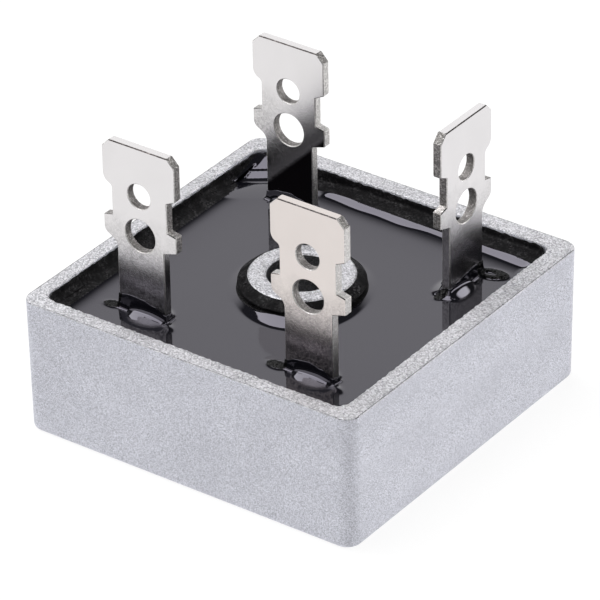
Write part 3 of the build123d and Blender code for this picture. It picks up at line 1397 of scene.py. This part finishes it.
    def build(self) -> bpy.types.Object:
        """Model the basin, the collars and the open resin, and join them.

        Returns:
            The finished resin.
        """
        basin, borders = self._basin()
        collars = [self._collar(spot) for spot in LEGS]
        middle = self._field([*borders, *(ring for _, ring in collars)])
        only(basin)
        for part in (middle, *(collar for collar, _ in collars)):
            part.select_set(True)
        bpy.ops.object.join()
        basin.name = basin.data.name = "resin_pool"
        with editing(basin):
            bpy.ops.mesh.remove_doubles(threshold=MERGE)
            bpy.ops.mesh.normals_make_consistent(inside=False)
        bpy.ops.object.shade_smooth()
        settle(basin, "potting_compound", (RESIN, FILM, LUMPS))
        for face in basin.data.polygons:
            face.material_index = self._slot(face)
        return basin


@dataclass
class TabTerminal:
    """One folded terminal: its solid with broken edges, and its own finishes on cuts, corners and holes, with
    painted shade on the tip's corners and chamfers.
    """

    place: TabPlace
    turn: float
    plating: SatinNickel
    cut: ShearedNickel
    offset: float
    holes: tuple[Pair, ...] = ((19.07, 0.975), (15.9, 1.3))
    hole_spare: float = 0.08
    edge: float = 0.06
    edge_angle: float = 60.0
    flat_angle: float = 0.5
    smooth: float = 30.0
    top: float = 22.9
    solid_chamfer: float = 0.12
    chamfer: float = 0.075
    tip_zone: float = 0.3
    spare: float = 0.01
    # Which faces get which finish: heights, and how far a face leans out of the sheet or upwards
    foot: float = 4.5
    tip_depth: float = 0.2
    cut_depth: float = 0.05
    corner_depth: float = 0.9
    cut_lean: float = 0.35
    sheet_lean: float = 0.9
    bevel_lean: float = 0.5
    tip_shade_lean: Pair = (0.4, 0.95)
    upright: float = 0.6
    rising: Pair = (0.3, 0.95)

    def _narrow_tip(self, terminal: bpy.types.Object) -> None:
        """Draw the chamfers of the tip in to their finer size.

        Args:
            terminal: The terminal, still with its solid's own points.
        """
        turn = Matrix.Rotation(math.radians(self.turn), 4, "Z")
        back = turn.inverted()
        spread = [(back @ v.co).y for v in terminal.data.vertices if v.co.z > (self.top - self.tip_zone) * MM]
        low, high = min(spread), max(spread)
        keep = self.chamfer / self.solid_chamfer
        for v in terminal.data.vertices:
            if v.co.z < (self.top - self.solid_chamfer - self.spare) * MM:
                continue
            p = back @ v.co
            if p.y - low < SAME or high - p.y < SAME:
                if v.co.z < (self.top - self.spare) * MM:
                    p.z = self.top * MM - (self.top * MM - p.z) * keep
            else:
                edge = low if p.y - low < high - p.y else high
                p.y = edge + (p.y - edge) * keep
            v.co = turn @ p

    def _in_hole(self, place: Vector) -> bool:
        """Say whether a place lies on the wall of one of the tab's two holes."""
        along = (Matrix.Rotation(math.radians(-self.turn), 3, "Z") @ place).x / MM - self.offset
        return any(math.hypot(along, place.z / MM - z) < radius + self.hole_spare for z, radius in self.holes)

    def _smooth_holes(self, terminal: bpy.types.Object, across: Vector) -> None:
        """Shade the walls of the two holes as one round surface.

        Args:
            terminal: The terminal.
            across: Direction across its sheet.
        """
        shape = bmesh.new()
        shape.from_mesh(terminal.data)
        for edge in shape.edges:
            sides = [abs(f.normal.dot(across)) < self.cut_lean for f in edge.link_faces]
            if all(sides) and all(self._in_hole(f.calc_center_median()) for f in edge.link_faces):
                edge.smooth = True
        shape.to_mesh(terminal.data)
        shape.free()

    def _slot(self, face: bpy.types.MeshPolygon, across: Vector) -> TabSlot:
        """Choose a face's finish by its place and the way it looks.

        Args:
            face: The face.
            across: Direction across the sheet.

        Returns:
            Its material slot.
        """
        lean, up, z = abs(face.normal.dot(across)), face.normal.z, face.center.z
        low, tip = self.foot * MM, (self.top - self.tip_depth) * MM
        cut = lean < self.cut_lean
        # The chamfers along the tip's top edge get painted shade, a dark line
        if z > tip and self.tip_shade_lean[0] < lean < self.tip_shade_lean[1] and up > self.rising[0]:
            return TabSlot.BURR
        if lean < self.sheet_lean and self._in_hole(face.center):
            return TabSlot.HOLE_WALL if cut else TabSlot.BRIGHT_EDGE
        # Bevels along the sides get the rougher edge finish, its lighter colour a painted highlight
        if self.bevel_lean < lean < self.sheet_lean and abs(up) < self.upright and low < z < tip:
            return TabSlot.BRIGHT_EDGE
        # Chamfered corners near the tip get painted shade
        if cut and self.rising[0] < up < self.rising[1] and z > (self.top - self.corner_depth) * MM:
            return TabSlot.CORNER
        if cut and low < z < (self.top - self.cut_depth) * MM:
            return TabSlot.CUT
        return TabSlot.PLATING

    def build(self, nodes: dict[str, bpy.types.Object]) -> bpy.types.Object:
        """Model the terminal on a merged copy of its solid.

        Args:
            nodes: The CAD nodes by name.

        Returns:
            The finished terminal.
        """
        solid = nodes[self.place.value]
        terminal = bpy.data.objects.new(f"tab_{self.place.value}", solid.data.copy())
        terminal.data.name = terminal.name
        terminal.data.materials.clear()
        bpy.context.scene.collection.objects.link(terminal)
        with editing(terminal):
            bpy.ops.mesh.remove_doubles(threshold=MERGE)
            bpy.ops.mesh.dissolve_limited(angle_limit=math.radians(self.flat_angle))
        self._narrow_tip(terminal)
        bevel = terminal.modifiers.new("broken_edges", "BEVEL")
        bevel.width = self.edge * MM
        bevel.segments = 1
        bevel.limit_method = "ANGLE"
        bevel.angle_limit = math.radians(self.edge_angle)
        bpy.ops.object.modifier_apply(modifier=bevel.name)
        bpy.ops.object.shade_smooth_by_angle(angle=math.radians(self.smooth))
        across = Matrix.Rotation(math.radians(self.turn), 3, "Z") @ Vector((0, 1, 0))
        self._smooth_holes(terminal, across)
        finishes = (self.plating, self.cut, BURR, BRIGHT_EDGE, CORNER, HOLE_WALL)
        settle(terminal, self.place.value, finishes)
        for face in terminal.data.polygons:
            face.material_index = self._slot(face, across)
        return terminal


@dataclass
class SealedCircuit:
    """The pad, dice and solder under the resin, which keep their solids."""

    finishes: dict[str, Finish] = field(
        default_factory=lambda: {"insulating_pad": PAD, "diode_die": SILICON, "solder": SOLDER})

    def dress(self, nodes: dict[str, bpy.types.Object]) -> None:
        """Give every sealed node its finish.

        Args:
            nodes: The CAD nodes by name.
        """
        for name, node in nodes.items():
            for key, finish in self.finishes.items():
                if key in name:
                    node.data.materials.clear()
                    node.data.materials.append(finish.material())
                    LOG.info("%s dressed as %s", name, finish.name)


@dataclass(frozen=True)
class Panel:
    """A round panel that shiny surfaces see: its direction, its angles from the middle, its radiance."""

    way: Triple
    core: float
    edge: float
    radiance: float


@dataclass
class Studio:
    """Floor, light and camera of the photograph."""

    panels: tuple[Panel, ...] = (
        Panel((-0.56, 0.765, 0.31), 17, 25, 1.17),
        Panel((-0.55, -0.62, 0.56), 24, 38, 1.3),
        Panel((0.6, 0.8, 0.0), 18, 34, 3.6),
        Panel((0.5, -0.7, 0.0), 10, 28, 0.8),
        Panel((0.02, 0.69, 0.72), 6, 11, 4.5),
    )
    surround: float = 0.05
    sky: float = 0.6
    backdrop: float = 1.0
    lamp_way: Triple = (-0.44, 0.0, 0.898)
    lamp_distance: float = 0.9
    lamp_size: Pair = (0.67, 0.86)
    lamp_radiance: float = 3.6
    lamp_aim: float = 0.01
    floor_size: float = 6.0
    floor_drop: float = 0.00002
    floor_grey: float = 0.86
    floor_shade: float = 0.16
    floor_glow: float = 0.88
    camera_place: Triple = (0.184733, -0.252337, 0.198924)
    azimuth: float = 36.241
    elevation: float = 31.352
    roll: float = -1.0085
    lens: float = 308.39
    sensor: float = 36.0
    clip: Pair = (0.01, 50.0)

    def camera(self) -> None:
        """Set up the camera at the photograph's place and angle."""
        data = bpy.data.cameras.new("photo_camera")
        data.lens, data.sensor_width, data.sensor_fit = self.lens, self.sensor, "HORIZONTAL"
        data.clip_start, data.clip_end = self.clip
        holder = bpy.data.objects.new("photo_camera", data)
        bpy.context.scene.collection.objects.link(holder)
        a, e, r = (math.radians(v) for v in (self.azimuth, self.elevation, self.roll))
        ahead = Vector((-math.sin(a) * math.cos(e), math.cos(a) * math.cos(e), -math.sin(e)))
        level = Vector((math.cos(a), math.sin(a), 0))
        right = level * math.cos(r) + level.cross(ahead) * math.sin(r)
        turn = Matrix((right, right.cross(ahead), -ahead)).transposed().to_4x4()
        holder.matrix_world = Matrix.Translation(self.camera_place) @ turn
        bpy.context.scene.camera = holder

    @staticmethod
    def _rays(board: Board, *kinds: RayKind) -> Socket:
        """Give a mask of some kinds of ray.

        Args:
            board: Board to place nodes on.
            kinds: The kinds.

        Returns:
            The mask.
        """
        path = board.node("LightPath").outputs
        total = path[kinds[0].value]
        for kind in kinds[1:]:
            total = board.math("MAXIMUM", total, path[kind.value])
        return total

    def floor(self) -> None:
        """Lay a pale floor that reads as white and keeps the object's shadow."""
        bpy.ops.object.select_all(action="DESELECT")
        bpy.ops.mesh.primitive_plane_add(size=self.floor_size, location=(0, 0, -self.floor_drop))
        plane = bpy.context.object
        plane.name = plane.data.name = "studio_floor"
        made = bpy.data.materials.new("pale_floor")
        made.use_nodes = True
        made.node_tree.nodes.clear()
        board = Board(made.node_tree)
        plain, faint = (
            board.node("BsdfDiffuse", {"Color": (grey, grey, grey, 1)}).outputs[0]
            for grey in (self.floor_grey, self.floor_shade))
        glow = board.node("Emission", {"Color": (1, 1, 1, 1), "Strength": self.floor_glow}).outputs[0]
        white = board.node("AddShader", {0: faint, 1: glow}).outputs[0]
        seen = self._rays(board, *RayKind)
        mixed = board.node("MixShader", {0: seen, 1: plain, 2: white}).outputs[0]
        board.node("OutputMaterial", {"Surface": mixed})
        plane.data.materials.append(made)

    def light(self) -> None:
        """Light the object: a soft sky, a surround of panels for what reflects, and one overhead softbox."""
        world = bpy.data.worlds.new("studio")
        bpy.context.scene.world = world
        world.use_nodes = True
        world.node_tree.nodes.clear()
        board = Board(world.node_tree)
        way = board.node("TexCoord").outputs["Generated"]
        mirrored: Socket | float = self.surround
        for panel in self.panels:
            middle = {0: way, 1: Vector(panel.way).normalized()}
            near = board.node("VectorMath", middle, operation="DOT_PRODUCT").outputs["Value"]
            wide, full = (math.cos(math.radians(a)) for a in (panel.edge, panel.core))
            mirrored = board.math("MAXIMUM", mirrored, board.span(near, wide, full, 0.0, panel.radiance))
        soft, shown, white = (
            board.node("Background", {"Color": (1, 1, 1, 1), "Strength": strength}).outputs[0]
            for strength in (self.sky, mirrored, self.backdrop))
        looks = self._rays(board, RayKind.GLOSSY, RayKind.TRANSMISSION)
        inner = board.node("MixShader", {0: looks, 1: soft, 2: shown}).outputs[0]
        outer = board.node("MixShader", {0: self._rays(board, RayKind.CAMERA), 1: inner, 2: white}).outputs[0]
        board.node("OutputWorld", {"Surface": outer})
        self._softbox()

    def _softbox(self) -> None:
        """Hang a soft rectangular lamp that looks at the object."""
        name = "overhead_softbox"
        lamp = bpy.data.lights.new(name, "AREA")
        lamp.shape = "RECTANGLE"
        lamp.size, lamp.size_y = self.lamp_size
        lamp.energy = self.lamp_radiance * math.pi * self.lamp_size[0] * self.lamp_size[1]
        holder = bpy.data.objects.new(name, lamp)
        bpy.context.scene.collection.objects.link(holder)
        way = Vector(self.lamp_way).normalized()
        holder.location = way * self.lamp_distance + Vector((0, 0, self.lamp_aim))
        holder.rotation_mode = "QUATERNION"
        holder.rotation_quaternion = way.to_track_quat("Z", "Y")


def main() -> None:
    """Load the frame, build every piece and set up the studio."""
    logging.basicConfig(level=logging.INFO, format="%(name)s: %(message)s")
    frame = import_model()
    case = CastCase()
    case.build()
    ResinPool(case).build()
    for spot in LEGS:
        offset = (Matrix.Rotation(math.radians(-spot.turn), 2) @ Vector(spot.centre)).x
        plating, cut = PLATINGS.get(spot.place, NICKEL), CUTS.get(spot.place, SHADED_CUT_EDGE)
        TabTerminal(spot.place, spot.turn, plating, cut, offset).build(frame["nodes"])
    SealedCircuit().dress(frame["nodes"])
    studio = Studio()
    studio.camera()
    studio.floor()
    studio.light()
    bpy.context.scene.view_settings.view_transform = "Standard"


if __name__ == "__main__":
    main()
